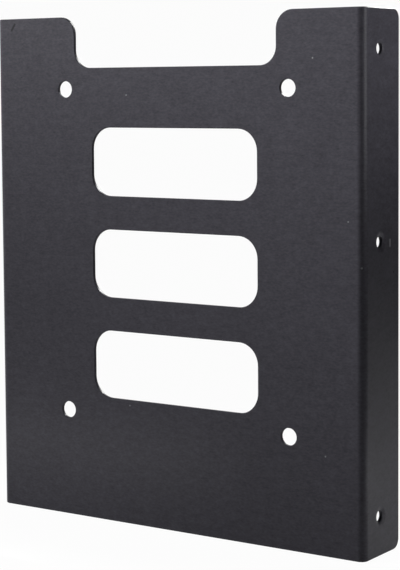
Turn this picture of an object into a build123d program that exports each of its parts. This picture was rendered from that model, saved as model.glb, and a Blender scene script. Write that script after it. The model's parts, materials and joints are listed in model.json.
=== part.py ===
from build123d import *
import os

# Drive bay adapter bracket: one piece of sheet steel, punched and folded into a shallow channel.
# It stands on its lower end. X runs across the channel, Y from the web's outer face towards the
# free edges of the flanges, and Z up the length. The origin is at the middle of the foot.
# All sizes are in millimetres. The drops are measured from the upper edge, where the connectors sit.

# Sheet and folds
sheet_thickness = 0.8
bend_inner_radius = 0.95
edge_break = 0.15

# Channel
channel_width = 101.6
channel_length = 119.0
flange_depth = 15.7
flange_corner_radius = 2.2

# The web's punched pattern of notch, windows and holes stands this far to the right of the middle
web_pattern_offset = 1.0

# Connector notch in the upper edge of the web
notch_width = 55.7
notch_depth = 12.0
notch_corner_radius = 4.2

# Vent windows in the web
window_count = 3
window_width = 45.7
window_height = 16.0
window_pitch = 23.85
window_corner_radius = 5.0
window_row_drop = 57.8

# Clearance holes for the screws of the small drive
drive_hole_diameter = 3.9
drive_hole_spacing_across = 61.72
drive_hole_spacing_along = 76.6
drive_hole_drop = 17.0

# Tapped collars for the screws of the large bay, pulled inwards from the flanges. The pattern stands
# midway up the length, and the short spacing is measured from its upper hole.
bay_bore_diameter = 2.7
bay_hole_setback = 7.2
bay_hole_short_spacing = 41.6
bay_hole_long_spacing = 101.6
collar_diameter = 4.4
collar_height = 0.25
mouth_diameter = 4.8
mouth_depth = 0.25

# Places that follow from the sizes
half_width = channel_width / 2
web_outer_y = -flange_depth / 2
bay_hole_y = web_outer_y + bay_hole_setback
window_row_z = channel_length - window_row_drop
drive_hole_row_z = channel_length - drive_hole_drop - drive_hole_spacing_along / 2
bay_hole_top_z = (channel_length + bay_hole_long_spacing) / 2
bay_hole_heights = (
    bay_hole_top_z,
    bay_hole_top_z - bay_hole_short_spacing,
    bay_hole_top_z - bay_hole_long_spacing,
)

# The web's outer face, seen from outside: local x across from the pattern's middle, local y up
web_face = Plane(origin=(web_pattern_offset, web_outer_y, 0), x_dir=(1, 0, 0), z_dir=(0, -1, 0))


def flange_face(side, inset=0.0):
    """The plane of a flange's outer face, or one set in from it, with local y up the line of the holes."""
    return Plane(
        origin=(side * (half_width - inset), bay_hole_y, 0),
        x_dir=(0, side, 0),
        z_dir=(side, 0, 0),
    )


def sharp_edges(part):
    """The edges where two faces meet at a corner, without those where one runs smoothly into the next."""
    faces_at = {}
    for face in part.faces():
        for edge in face.edges():
            faces_at.setdefault(edge, []).append(face)
    sharp = []
    for edge, faces in faces_at.items():
        normals = [face.normal_at(edge.position_at(0.5)) for face in faces]
        if normals[0] != normals[-1]:
            sharp.append(edge)
    return sharp


# Drawn-in mouth of a collar, as the form that it takes out of the flange: the flange's face turns
# smoothly inwards from the rim down to the edge of the bore
with BuildPart() as mouth:
    with BuildSketch(Plane.XZ):
        with BuildLine():
            drawn_in = TangentArc(
                (mouth_diameter / 2, 0),
                (bay_bore_diameter / 2, -mouth_depth),
                tangent=(-1, 0),
            )
            Polyline(drawn_in @ 1, (0, -mouth_depth), (0, 0), drawn_in @ 0)
        make_face()
    revolve(axis=Axis.Z)

with BuildPart() as bracket:
    # Folded sheet: a channel section run up the length, with its two folds rounded outside and inside
    with BuildSketch():
        Rectangle(channel_width, flange_depth)
        with Locations((0, sheet_thickness)):
            Rectangle(channel_width - 2 * sheet_thickness, flange_depth, mode=Mode.SUBTRACT)
    extrude(amount=channel_length)
    outer_folds, inner_folds, _ = bracket.edges().filter_by(Axis.Z).group_by(Axis.Y)
    fillet(outer_folds, radius=bend_inner_radius + sheet_thickness)
    fillet(inner_folds, radius=bend_inner_radius)
    free_corners = bracket.edges().filter_by(Axis.X).group_by(Axis.Y)[-1]
    fillet(free_corners, radius=flange_corner_radius)

    # Connector notch, rounded at its mouth and at its floor
    with BuildSketch(web_face):
        with Locations((0, channel_length)):
            Rectangle(notch_width, notch_depth, align=(Align.CENTER, Align.MAX))
    extrude(amount=-sheet_thickness, mode=Mode.SUBTRACT)
    fillet(bracket.edges(Select.LAST).filter_by(Axis.Y), radius=notch_corner_radius)

    # Vent windows
    with BuildSketch(web_face):
        with Locations((0, window_row_z)):
            with GridLocations(0, window_pitch, 1, window_count):
                RectangleRounded(window_width, window_height, window_corner_radius)
    extrude(amount=-sheet_thickness, mode=Mode.SUBTRACT)

    # Drive screw holes
    with Locations(web_face):
        with Locations((0, drive_hole_row_z)):
            with GridLocations(drive_hole_spacing_across, drive_hole_spacing_along, 2, 2):
                Hole(drive_hole_diameter / 2, depth=sheet_thickness)

    # Every edge of the punched and folded sheet is broken
    chamfer(sharp_edges(bracket.part), length=edge_break)

    # Pulled collars: a short tube on the flange's inner face, bored through, with a drawn-in mouth
    for side in (-1, 1):
        outwards = Axis((0, 0, 0), (side, 0, 0))
        with BuildSketch(flange_face(side, inset=sheet_thickness)):
            with Locations(*[(0, height) for height in bay_hole_heights]):
                Circle(collar_diameter / 2)
        extrude(amount=-collar_height)
        tips = bracket.edges(Select.LAST).filter_by(GeomType.CIRCLE).group_by(outwards)[0]
        chamfer(tips, length=edge_break)
        with Locations(flange_face(side)):
            with Locations(*[(0, height) for height in bay_hole_heights]):
                Hole(bay_bore_diameter / 2, depth=sheet_thickness + collar_height)
                add(mouth.part, mode=Mode.SUBTRACT)

bracket.part.label = "bracket"

os.makedirs("parts", exist_ok=True)
export_step(bracket.part, "parts/bracket.step")
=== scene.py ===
"""Drive bay adapter bracket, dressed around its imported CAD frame.

The folded bracket keeps its CAD shape and gets a fine-textured satin black powder coat. Each of its
six tapped collars gets the ridge of its thread. The stage is a pale floor that sweeps up behind the
bracket, with soft studio lamps, a black card and the camera.
"""

import json
import math

import bpy
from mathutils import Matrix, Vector


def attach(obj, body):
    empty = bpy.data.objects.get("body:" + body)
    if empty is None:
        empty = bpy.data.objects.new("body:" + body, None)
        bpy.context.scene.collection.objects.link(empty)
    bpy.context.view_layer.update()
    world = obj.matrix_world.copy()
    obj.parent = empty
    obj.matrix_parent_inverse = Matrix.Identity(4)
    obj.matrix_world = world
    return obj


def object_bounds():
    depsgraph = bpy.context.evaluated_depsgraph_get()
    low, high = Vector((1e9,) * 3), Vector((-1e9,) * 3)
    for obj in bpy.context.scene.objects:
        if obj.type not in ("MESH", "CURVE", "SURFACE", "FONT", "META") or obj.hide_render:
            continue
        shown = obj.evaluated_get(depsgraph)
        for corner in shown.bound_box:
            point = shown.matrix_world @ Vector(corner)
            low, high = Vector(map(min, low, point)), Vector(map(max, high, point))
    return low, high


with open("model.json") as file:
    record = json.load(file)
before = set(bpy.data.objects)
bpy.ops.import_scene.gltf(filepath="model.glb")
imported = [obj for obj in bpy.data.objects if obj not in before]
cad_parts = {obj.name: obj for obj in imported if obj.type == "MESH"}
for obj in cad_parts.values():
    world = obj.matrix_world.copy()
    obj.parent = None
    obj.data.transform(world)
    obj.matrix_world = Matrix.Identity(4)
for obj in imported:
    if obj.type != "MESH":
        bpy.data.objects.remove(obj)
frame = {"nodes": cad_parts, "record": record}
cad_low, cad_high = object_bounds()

bl_info = {
    "name": "Drive Bay Adapter Bracket",
    "version": (1, 0, 0),
    "blender": (4, 5, 0),
    "location": "View3D > Sidebar > Bracket",
    "description": "Coats a folded drive bay bracket, cuts its threads and sets it on a plain stage",
    "category": "Object",
}

MM = 0.001
BODY = "root"
NODE = "bracket"

# The faces that the photograph shows, and the record's mounts
web_face_y = cad_low.y
flange_face_x = cad_high.x
mounts = {mount["name"]: mount for mount in frame["record"]["mounts"]}

# Lumps in the coat besides its grain, in metres. The mottle and the grain are drawn out to twice their
# length in the level directions.
CLOUD_SIZE = 9 * MM
MOTTLE_SIZE = 1.3 * MM
DRAWN_OUT = (0.5, 0.5, 1)

# Each lump's share in the coat's tone, and how far the tone moves its colour and its roughness
CLOUD_TONE = 0.3
MOTTLE_TONE = 1.0
GRAIN_TONE = 1.3
COLOUR_SWING = 0.32
ROUGHNESS_SWING = 0.12

# Shares of the grain, the mottle and the dark marks in the coat's relief, and the relief's strength
GRAIN_RELIEF = 0.7
MOTTLE_RELIEF = 0.3
MARK_RELIEF = 0.8
RELIEF_STRENGTH = 0.6

# Marks of handling and one painted highlight, in millimetres, each with its radius last: across and up
# on the web, along and up on the right flange, and by its place in the frame for the nick on the fold
WEB_SPECKS = (
    (38.2, 108.4, 0.26),
    (46.9, 73.4, 0.22),
    (41.2, 22.1, 0.26),
    (-11.8, 100.6, 0.24),
    (-11.6, 28.1, 0.24),
)
WEB_SCRATCH = ((-45.1, 117.7), (-46.1, 116.3), 0.42)
# Painted highlight: a pale stroke on the right flange that stands in for the glint beside its middle
# hole
FLANGE_PAINTED_GLINT = ((3.7, 67.6), (3.7, 68.8), 0.45)
FLANGE_DOT = (5.3, 61.7, 0.32)
FOLD_NICK = (50.05, -7.55, 63.6, 0.3)

# How far the pale specks, the painted glint and the dark marks cover the coat, and the share of a
# mark's radius inside which it is whole
SPECK_COVER = 0.8
PAINTED_GLINT_COVER = 0.95
DARK_COVER = 0.85
DOT_CORE = 0.55
STROKE_CORE = 0.3

# Steps round each thread ridge, how far its two ends are spread about the bore's axis so that they sink
# into the wall, and the angle up to which it is shaded smooth
RIDGE_STEPS = 36
END_SPREAD = 1.17
SMOOTH_ANGLE = math.radians(40)

# The sweep behind the bracket: its distance, its height and the radius of its fold, in metres, and the
# steps in its fold
SWEEP_AT = 2.0
SWEEP_HEIGHT = 1.2
SWEEP_RADIUS = 0.6
SWEEP_STEPS = 16
NEAR = 1e-4

# Lamps: name, place, aim, width and height in metres, and spread of the beam in degrees
LAMPS = (
    ("key", (-0.46, -0.30, 0.36), (0.006, 0.0, 0.175), 0.20, 0.20, 31),
    ("fill", (-0.085, -0.046, 0.007), (-0.085, 0.0, 0.005), 0.15, 0.012, 180),
    ("side", (0.135, 0.006, 0.119), (0.05, 0.002, 0.122), 0.06, 0.07, 66),
    ("foot", (0.10, 0.02, 0.006), (0.05, 0.0, 0.006), 0.06, 0.010, 140),
    ("back", (0.0, 0.22, 0.24), (0.0, 0.0, 0.06), 0.10, 0.10, 60),
)

# The black card that keeps most of the white surround out of the right flange's reflection: its place,
# its aim, and its width and height, in metres. The camera doesn't see it, as it doesn't see the lamps.
CARD_AT = (0.20, 0.28, 0.12)
CARD_AIM = (0.05, 0.0, 0.06)
CARD_WIDTH = 0.46
CARD_HEIGHT = 0.40
CARD_BLACK = (0.01, 0.01, 0.01, 1)

# The camera's sensor in millimetres, and the nearest and farthest distance that it sees, in metres
SENSOR_WIDTH = 36
CLIP_START = 0.01
CLIP_END = 50

# The rays that see the floor as white
SEEN_RAYS = ("Camera", "Glossy", "Transmission")
WHITE = (1, 1, 1, 1)


def on_web(across, up):
    """A point on the web's outer face, in metres."""
    return Vector((across * MM, web_face_y, up * MM))


def on_flange(along, up):
    """A point on the right flange's outer face, in metres."""
    return Vector((flange_face_x, along * MM, up * MM))


def collar_centres(side):
    """The points on a flange's hole axes that the record's bolt patterns state, highest first."""
    points = set()
    for pattern in ("long", "short"):
        mount = mounts[f"{side}_bay_holes_{pattern}"]
        x, y, z = mount["pos_m"]
        half = mount["dims"]["spacing_y_mm"] * MM / 2
        points.update((x, y, round(z + step, 6)) for step in (-half, half))
    return [Vector(point) for point in sorted(points, key=lambda point: -point[2])]


class Wire:
    """A node's output that takes part in Python expressions: each operator adds a Math node."""

    def __init__(self, net, socket):
        self.net = net
        self.socket = socket

    def maths(self, operation, first, second=0.0, clamp=False):
        """Adds a Math node on two numbers or wires."""
        settings = {"operation": operation, "use_clamp": clamp}
        return self.net.add("ShaderNodeMath", settings, {0: first, 1: second})

    def __add__(self, other):
        return self.maths("ADD", self, other)

    def __radd__(self, other):
        return self.maths("ADD", other, self)

    def __sub__(self, other):
        return self.maths("SUBTRACT", self, other)

    def __rsub__(self, other):
        return self.maths("SUBTRACT", other, self)

    def __mul__(self, other):
        return self.maths("MULTIPLY", self, other)

    def __rmul__(self, other):
        return self.maths("MULTIPLY", other, self)

    def __truediv__(self, other):
        return self.maths("DIVIDE", self, other)

    def __rtruediv__(self, other):
        return self.maths("DIVIDE", other, self)

    def __or__(self, other):
        return self.maths("MAXIMUM", self, other)

    def __ror__(self, other):
        return self.maths("MAXIMUM", other, self)

    def clamped(self):
        """The same value, kept between 0 and 1."""
        return self.maths("ADD", self, 0.0, clamp=True)


class Net:
    """The node tree of one material or of the world, emptied and built from named nodes."""

    def __init__(self, owner):
        owner.use_nodes = True
        self.tree = owner.node_tree
        self.tree.nodes.clear()

    def add(self, kind, settings=None, inputs=None, output=0):
        """Adds a node: its settings first, then its sockets' values or wires. Returns one output."""
        node = self.tree.nodes.new(kind)
        for name, value in (settings or {}).items():
            setattr(node, name, value)
        for key, value in (inputs or {}).items():
            if isinstance(value, Wire):
                self.tree.links.new(value.socket, node.inputs[key])
            else:
                node.inputs[key].default_value = value
        return Wire(self, node.outputs[output]) if node.outputs else node

    def vector(self, operation, first, second, output="Vector"):
        """Adds a Vector Math node on two vectors or wires."""
        settings = {"operation": operation}
        return self.add("ShaderNodeVectorMath", settings, {0: first, 1: second}, output)

    def noise(self, place, size, detail=2.0, roughness=0.5):
        """Noise about one half, with lumps of the given size in metres."""
        inputs = {"Vector": place, "Scale": 1 / size, "Detail": detail, "Roughness": roughness}
        return self.add("ShaderNodeTexNoise", {"noise_dimensions": "3D"}, inputs, "Fac")

    def step(self, value, low, high):
        """A smooth step from 0 at low to 1 at high, or back down where low is above high."""
        ends = {"From Min": low, "From Max": high, "To Min": 0.0, "To Max": 1.0}
        if low > high:
            ends.update({"From Min": high, "From Max": low, "To Min": 1.0, "To Max": 0.0})
        settings = {"interpolation_type": "SMOOTHSTEP"}
        return self.add("ShaderNodeMapRange", settings, {"Value": value, **ends})

    def blend(self, share, first, second):
        """A colour between two colours."""
        settings = {"data_type": "RGBA", "blend_type": "MIX"}
        return self.add("ShaderNodeMix", settings, {0: share, 6: first, 7: second}, 2)

    def dot(self, place, point, radius):
        """A round spot on the surface, 1 inside and 0 outside. The radius is in millimetres."""
        radius = radius * MM
        distance = self.vector("DISTANCE", place, point, "Value")
        return self.step(distance, radius, radius * DOT_CORE)

    def stroke(self, place, start, end, radius):
        """A thin line on the surface between two points, 1 on the line and 0 off it."""
        radius = radius * MM
        run = end - start
        offset = self.vector("SUBTRACT", place, start)
        along = (self.vector("DOT_PRODUCT", offset, run, "Value") / run.length_squared).clamped()
        foot = self.add("ShaderNodeVectorMath", {"operation": "SCALE"}, {0: run, "Scale": along})
        distance = self.vector("DISTANCE", offset, foot, "Value")
        return self.step(distance, radius, radius * STROKE_CORE)


class BracketCoat(bpy.types.PropertyGroup):
    """Sizes and colours of the powder coat."""

    colour: bpy.props.FloatVectorProperty(
        name="Coat",
        description="Colour of the powder coat",
        subtype="COLOR",
        size=3,
        min=0,
        max=1,
        default=(0.043, 0.0415, 0.050),
    )
    # Also the colour of the painted highlight, the pale stroke beside the middle flange hole
    speck_and_glint_colour: bpy.props.FloatVectorProperty(
        name="Specks",
        description="Colour of the pale specks and the scuff in the coat",
        subtype="COLOR",
        size=3,
        min=0,
        max=1,
        default=(0.17, 0.17, 0.18),
    )
    scratch_colour: bpy.props.FloatVectorProperty(
        name="Scratch",
        description="Colour of the scratch and the dark dot",
        subtype="COLOR",
        size=3,
        min=0,
        max=1,
        default=(0.016, 0.016, 0.017),
    )
    grain_size: bpy.props.FloatProperty(
        name="Grain",
        description="Size of the coat's fine grains",
        subtype="DISTANCE",
        unit="LENGTH",
        min=0.05 * MM,
        default=0.4 * MM,
        precision=5,
    )
    grain_height: bpy.props.FloatProperty(
        name="Grain height",
        description="Height of the coat's fine grains",
        subtype="DISTANCE",
        unit="LENGTH",
        min=0,
        default=0.012 * MM,
        precision=6,
    )
    roughness: bpy.props.FloatProperty(
        name="Roughness",
        description="Roughness of the coat's satin surface",
        subtype="FACTOR",
        min=0,
        max=1,
        default=0.36,
    )
    gloss: bpy.props.FloatProperty(
        name="Gloss",
        description="Strength of the coat's reflection",
        subtype="FACTOR",
        min=0,
        max=1,
        default=0.075,
    )


class BracketThread(bpy.types.PropertyGroup):
    """Sizes of the thread ridges in the tapped collars."""

    pitch: bpy.props.FloatProperty(
        name="Pitch",
        description="Distance from one turn to the next",
        subtype="DISTANCE",
        unit="LENGTH",
        min=0.1 * MM,
        default=25.4 / 32 * MM,
        precision=6,
    )
    turns: bpy.props.FloatProperty(
        name="Turns",
        description="Turns of the thread in each collar",
        min=0.1,
        default=0.8,
    )
    crest_height: bpy.props.FloatProperty(
        name="Crest height",
        description="Height of the ridge over the bore's wall",
        subtype="DISTANCE",
        unit="LENGTH",
        min=0.01 * MM,
        default=0.08 * MM,
        precision=6,
    )
    crest_width: bpy.props.FloatProperty(
        name="Crest width",
        description="Width of the ridge at its crest",
        subtype="DISTANCE",
        unit="LENGTH",
        min=0.01 * MM,
        default=0.08 * MM,
        precision=6,
    )
    foot_width: bpy.props.FloatProperty(
        name="Foot width",
        description="Width of the ridge at its foot, inside the wall",
        subtype="DISTANCE",
        unit="LENGTH",
        min=0.02 * MM,
        default=0.28 * MM,
        precision=6,
    )
    foot_depth: bpy.props.FloatProperty(
        name="Foot depth",
        description="Depth of the ridge's foot behind the bore's wall",
        subtype="DISTANCE",
        unit="LENGTH",
        min=0,
        default=0.2 * MM,
        precision=6,
    )


class BracketStage(bpy.types.PropertyGroup):
    """Sizes, colours and powers of the floor, the light and the camera."""

    floor_colour: bpy.props.FloatVectorProperty(
        name="Floor",
        description="Colour of the floor and its sweep",
        subtype="COLOR",
        size=3,
        min=0,
        max=1,
        default=(0.62, 0.62, 0.62),
    )
    floor_size: bpy.props.FloatProperty(
        name="Floor size",
        description="Width of the floor",
        subtype="DISTANCE",
        unit="LENGTH",
        min=1,
        default=8,
    )
    floor_glow: bpy.props.FloatProperty(
        name="White",
        description="Share of plain white in the floor as it is seen",
        subtype="FACTOR",
        min=0,
        max=1,
        default=0.97,
    )
    room_light: bpy.props.FloatProperty(
        name="Room light",
        description="Strength of the even light from all round",
        min=0,
        default=0.05,
    )
    key_power: bpy.props.FloatProperty(
        name="Key lamp",
        description="Power of the lamp at the upper left",
        unit="POWER",
        min=0,
        default=0.50,
    )
    fill_power: bpy.props.FloatProperty(
        name="Fill lamp",
        description="Power of the low lamp at the left",
        unit="POWER",
        min=0,
        default=0.0133,
    )
    side_power: bpy.props.FloatProperty(
        name="Side lamp",
        description="Power of the lamp beside the right flange",
        unit="POWER",
        min=0,
        default=0.0172,
    )
    foot_power: bpy.props.FloatProperty(
        name="Foot lamp",
        description="Power of the low lamp at the right",
        unit="POWER",
        min=0,
        default=0.0047,
    )
    back_power: bpy.props.FloatProperty(
        name="Back lamp",
        description="Power of the lamp behind the bracket",
        unit="POWER",
        min=0,
        default=0.2,
    )
    camera_place: bpy.props.FloatVectorProperty(
        name="Camera",
        description="Place of the camera",
        subtype="TRANSLATION",
        unit="LENGTH",
        size=3,
        default=(0.22855, -0.32907, 0.10216),
        precision=5,
    )
    camera_turn: bpy.props.FloatVectorProperty(
        name="Camera turn",
        description="Rotation of the camera",
        subtype="EULER",
        unit="ROTATION",
        size=3,
        default=(math.radians(85.9597), math.radians(0.4148), math.radians(34.3627)),
        precision=4,
    )
    focal_length: bpy.props.FloatProperty(
        name="Focal length",
        description="Focal length of the camera in millimetres",
        unit="CAMERA",
        min=1,
        default=109.29,
    )
    rise: bpy.props.FloatProperty(
        name="Shift",
        description="Upright shift of the camera's picture",
        default=-0.1316,
        precision=4,
    )


def deselect():
    """Leaves nothing selected, in object mode."""
    if bpy.context.object and bpy.context.object.mode != "OBJECT":
        bpy.ops.object.mode_set(mode="OBJECT")
    bpy.ops.object.select_all(action="DESELECT")


def activate(piece):
    """Leaves one piece selected and active."""
    deselect()
    bpy.context.view_layer.objects.active = piece
    piece.select_set(True)


def settle(piece):
    """Applies a piece's place, turn and scale, so that its object sits at the origin."""
    activate(piece)
    bpy.ops.object.transform_apply(location=True, rotation=True, scale=True)


def pick_edges(piece, test):
    """Selects, in edit mode, the edges whose two ends both pass a test of their place."""
    bpy.ops.object.mode_set(mode="EDIT")
    bpy.ops.mesh.select_mode(type="EDGE")
    bpy.ops.mesh.select_all(action="DESELECT")
    bpy.ops.object.mode_set(mode="OBJECT")
    for edge in piece.data.edges:
        edge.select = all(test(piece.data.vertices[end].co) for end in edge.vertices)
    bpy.ops.object.mode_set(mode="EDIT")


def powder_coat(props):
    """Satin black powder coat: fine grain, faint mottling, the few marks of handling and a painted
    highlight.
    """
    material = bpy.data.materials.new("powder_coat_finish")
    net = Net(material)
    place = net.add("ShaderNodeTexCoord", output="Object")
    drawn = net.vector("MULTIPLY", place, DRAWN_OUT)
    clouds = net.noise(place, CLOUD_SIZE, detail=3)
    mottle = net.noise(drawn, MOTTLE_SIZE, detail=3, roughness=0.6)
    grain = net.noise(drawn, props.grain_size, detail=2, roughness=0.6)
    tone = (clouds - 0.5) * CLOUD_TONE + (mottle - 0.5) * MOTTLE_TONE + (grain - 0.5) * GRAIN_TONE

    coat = Vector(props.colour)
    darkest = (*(coat * (1 - COLOUR_SWING)), 1)
    lightest = (*(coat * (1 + COLOUR_SWING)), 1)
    colour = net.blend((tone + 0.5).clamped(), darkest, lightest)

    *nick, nick_radius = FOLD_NICK
    pale = net.dot(place, Vector(nick) * MM, nick_radius)
    for *spot, radius in WEB_SPECKS:
        pale = pale | net.dot(place, on_web(*spot), radius)
    # The painted highlight: a pale stroke on the right flange that stands in for the glint beside its
    # middle hole
    *ends, radius = FLANGE_PAINTED_GLINT
    glint = net.stroke(place, *[on_flange(*point) for point in ends], radius)
    colour = net.blend(pale * SPECK_COVER | glint * PAINTED_GLINT_COVER, colour, (*props.speck_and_glint_colour, 1))

    *ends, radius = WEB_SCRATCH
    marks = net.stroke(place, *[on_web(*point) for point in ends], radius)
    *spot, radius = FLANGE_DOT
    marks = marks | net.dot(place, on_flange(*spot), radius)
    colour = net.blend(marks * DARK_COVER, colour, (*props.scratch_colour, 1))

    height = grain * GRAIN_RELIEF + mottle * MOTTLE_RELIEF - marks * MARK_RELIEF
    relief = {"Strength": RELIEF_STRENGTH, "Distance": props.grain_height, "Height": height}
    shader = net.add(
        "ShaderNodeBsdfPrincipled",
        {"distribution": "GGX"},
        {
            "Base Color": colour,
            "Roughness": (tone * ROUGHNESS_SWING + props.roughness).clamped(),
            "Normal": net.add("ShaderNodeBump", None, relief),
            "IOR": 1.5,
            "Specular IOR Level": props.gloss,
        },
    )
    net.add("ShaderNodeOutputMaterial", None, {"Surface": shader})
    return material


class BRACKET_OT_coat(bpy.types.Operator):
    """Coat the folded bracket"""

    bl_idname = "bracket.coat"
    bl_label = "Coat the Bracket"

    def execute(self, context):
        node = frame["nodes"][NODE]
        finish = powder_coat(context.scene.bracket_coat)
        node.data.materials.clear()
        node.data.materials.append(finish)
        return {"FINISHED"}


class BRACKET_OT_thread(bpy.types.Operator):
    """Add the thread's ridge to each tapped collar"""

    bl_idname = "bracket.thread"
    bl_label = "Thread the Collars"

    def execute(self, context):
        pattern = self.ridge(context.scene.bracket_thread)
        finish = frame["nodes"][NODE].data.materials[0]
        pattern.data.materials.append(finish)
        for side, turn in (("right", 0.0), ("left", math.pi)):
            for number, centre in enumerate(collar_centres(side), 1):
                activate(pattern)
                bpy.ops.object.duplicate(linked=False)
                ridge = bpy.context.object
                ridge.name = f"thread_{side}_{number}"
                ridge.data.name = ridge.name
                ridge.location = centre
                ridge.rotation_euler.z = turn
                settle(ridge)
                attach(ridge, BODY)
        activate(pattern)
        bpy.ops.object.delete()
        return {"FINISHED"}

    def ridge(self, props):
        """One ridge about the X axis: a wedge run round the bore, its ends sunk into the wall."""
        bore = mounts["right_bay_holes_long"]["dims"]["hole_r_mm"] * MM
        foot = bore + props.foot_depth
        crest = bore - props.crest_height
        width = props.foot_width
        middle = foot - width / 2

        # The wedge's outline: a square above the bore, its lower side moved to the crest and narrowed
        deselect()
        upright = (math.pi / 2, 0, 0)
        bpy.ops.mesh.primitive_plane_add(size=width, rotation=upright, location=(0, 0, middle))
        ridge = bpy.context.object
        settle(ridge)
        pick_edges(ridge, lambda point: point.z < middle)
        bpy.ops.transform.resize(value=(props.crest_width / width, 1, 1), center_override=(0, 0, 0))
        bpy.ops.transform.translate(value=(0, 0, crest - foot + width))
        bpy.ops.mesh.select_all(action="SELECT")
        bpy.ops.mesh.delete(type="ONLY_FACE")
        bpy.ops.object.mode_set(mode="OBJECT")

        screw = ridge.modifiers.new("run", "SCREW")
        screw.axis = "X"
        screw.angle = props.turns * 2 * math.pi
        screw.screw_offset = props.turns * props.pitch
        screw.steps = screw.render_steps = RIDGE_STEPS
        bpy.ops.object.modifier_apply(modifier=screw.name)

        # The open ends are spread into the wall and closed
        bpy.ops.object.mode_set(mode="EDIT")
        bpy.ops.mesh.select_mode(type="EDGE")
        bpy.ops.mesh.select_all(action="DESELECT")
        bpy.ops.mesh.select_non_manifold()
        bpy.ops.transform.resize(value=(1, END_SPREAD, END_SPREAD), center_override=(0, 0, 0))
        bpy.ops.mesh.select_all(action="SELECT")
        bpy.ops.mesh.fill_holes(sides=4)
        bpy.ops.mesh.normals_make_consistent(inside=False)
        bpy.ops.object.mode_set(mode="OBJECT")
        bpy.ops.object.shade_smooth_by_angle(angle=SMOOTH_ANGLE)
        return ridge


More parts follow.
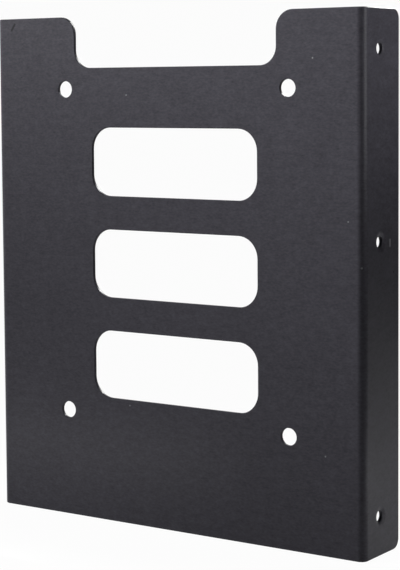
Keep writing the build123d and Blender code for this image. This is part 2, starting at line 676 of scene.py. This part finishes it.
class BRACKET_OT_stage(bpy.types.Operator):
    """Set the floor, the sweep behind it, the black card, the lamps and the camera"""

    bl_idname = "bracket.stage"
    bl_label = "Set the Stage"

    def execute(self, context):
        props = context.scene.bracket_stage
        self.floor(props)
        self.card()
        self.lamps(props)
        self.room(context.scene, props)
        self.camera(context.scene, props)
        return {"FINISHED"}

    def floor(self, props):
        """One plane, folded up into a sweep on the side away from the camera, of pale paper."""
        deselect()
        size = props.floor_size
        bpy.ops.mesh.primitive_plane_add(size=size)
        floor = bpy.context.object
        floor.name = "floor"
        pick_edges(floor, lambda point: point.y > 0)
        bpy.ops.transform.translate(value=(0, SWEEP_AT - size / 2, 0))
        bpy.ops.mesh.extrude_region_move(TRANSFORM_OT_translate={"value": (0, 0, SWEEP_HEIGHT)})
        bpy.ops.object.mode_set(mode="OBJECT")
        pick_edges(floor, lambda point: abs(point.y - SWEEP_AT) < NEAR and abs(point.z) < NEAR)
        bpy.ops.mesh.bevel(offset=SWEEP_RADIUS, segments=SWEEP_STEPS, affect="EDGES")
        bpy.ops.object.mode_set(mode="OBJECT")
        bpy.ops.object.shade_smooth()
        floor.rotation_euler.z = props.camera_turn[2]
        settle(floor)

        material = bpy.data.materials.new("floor_paper")
        net = Net(material)
        rays = [net.add("ShaderNodeLightPath", output=f"Is {kind} Ray") for kind in SEEN_RAYS]
        seen = rays[0] | rays[1] | rays[2]
        paper = net.add("ShaderNodeBsdfDiffuse", None, {"Color": (*props.floor_colour, 1)})
        white = net.add("ShaderNodeEmission", None, {"Color": WHITE, "Strength": 1.0})
        mix = {0: seen * props.floor_glow, 1: paper, 2: white}
        surface = net.add("ShaderNodeMixShader", None, mix)
        net.add("ShaderNodeOutputMaterial", None, {"Surface": surface})
        floor.data.materials.append(material)

    def card(self):
        """The black card, behind and to the right of the bracket."""
        turn = (Vector(CARD_AIM) - Vector(CARD_AT)).to_track_quat("Z", "Y").to_euler()
        deselect()
        bpy.ops.mesh.primitive_plane_add(size=1, location=CARD_AT, rotation=turn)
        card = bpy.context.object
        card.name = "card"
        card.scale = (CARD_WIDTH, CARD_HEIGHT, 1)
        settle(card)

        material = bpy.data.materials.new("black_card")
        net = Net(material)
        black = net.add("ShaderNodeBsdfDiffuse", None, {"Color": CARD_BLACK})
        net.add("ShaderNodeOutputMaterial", None, {"Surface": black})
        card.data.materials.append(material)
        card.visible_camera = False

    def lamps(self, props):
        """Soft rectangular lamps that the camera doesn't see."""
        for name, place, aim, width, height, spread in LAMPS:
            turn = (Vector(aim) - Vector(place)).to_track_quat("-Z", "Y").to_euler()
            deselect()
            bpy.ops.object.light_add(type="AREA", location=place, rotation=turn)
            lamp = bpy.context.object
            lamp.name = f"lamp_{name}"
            lamp.data.shape = "RECTANGLE"
            lamp.data.size = width
            lamp.data.size_y = height
            lamp.data.spread = math.radians(spread)
            lamp.data.energy = getattr(props, f"{name}_power")
            lamp.visible_camera = False

    def room(self, scene, props):
        """The even light from all round."""
        world = bpy.data.worlds.new("room")
        scene.world = world
        net = Net(world)
        even = {"Color": WHITE, "Strength": props.room_light}
        light = net.add("ShaderNodeBackground", None, even)
        net.add("ShaderNodeOutputWorld", None, {"Surface": light})

    def camera(self, scene, props):
        """The camera at the photograph's place, and plain colours."""
        deselect()
        bpy.ops.object.camera_add(location=props.camera_place, rotation=props.camera_turn)
        camera = bpy.context.object
        camera.name = "camera"
        camera.data.sensor_width = SENSOR_WIDTH
        camera.data.lens = props.focal_length
        camera.data.shift_y = props.rise
        camera.data.clip_start = CLIP_START
        camera.data.clip_end = CLIP_END
        scene.camera = camera
        scene.view_settings.view_transform = "Standard"


# The settings and the operator of each of the panel's sections
TOOLS = (
    ("bracket_coat", BRACKET_OT_coat),
    ("bracket_thread", BRACKET_OT_thread),
    ("bracket_stage", BRACKET_OT_stage),
)


class BRACKET_PT_sidebar(bpy.types.Panel):
    """The bracket's tools and settings"""

    bl_idname = "BRACKET_PT_sidebar"
    bl_label = "Drive Bay Bracket"
    bl_space_type = "VIEW_3D"
    bl_region_type = "UI"
    bl_category = "Bracket"

    def draw(self, context):
        """Lists each section's settings, and its operator below them."""
        for group, operator in TOOLS:
            props = getattr(context.scene, group)
            column = self.layout.column()
            for name in props.bl_rna.properties.keys():
                if name not in ("rna_type", "name"):
                    column.prop(props, name)
            column.operator(operator.bl_idname)


CLASSES = (
    BracketCoat,
    BracketThread,
    BracketStage,
    BRACKET_OT_coat,
    BRACKET_OT_thread,
    BRACKET_OT_stage,
    BRACKET_PT_sidebar,
)


def register():
    """Registers the classes and gives the scene their settings."""
    for cls in CLASSES:
        bpy.utils.register_class(cls)
    bpy.types.Scene.bracket_coat = bpy.props.PointerProperty(type=BracketCoat)
    bpy.types.Scene.bracket_thread = bpy.props.PointerProperty(type=BracketThread)
    bpy.types.Scene.bracket_stage = bpy.props.PointerProperty(type=BracketStage)


def unregister():
    """Takes the settings off the scene and unregisters the classes."""
    del bpy.types.Scene.bracket_stage
    del bpy.types.Scene.bracket_thread
    del bpy.types.Scene.bracket_coat
    for cls in reversed(CLASSES):
        bpy.utils.unregister_class(cls)


def main():
    """Dresses the bracket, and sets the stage."""
    register()
    bpy.ops.bracket.coat()
    bpy.ops.bracket.thread()
    bpy.ops.bracket.stage()


if __name__ == "__main__":
    main()
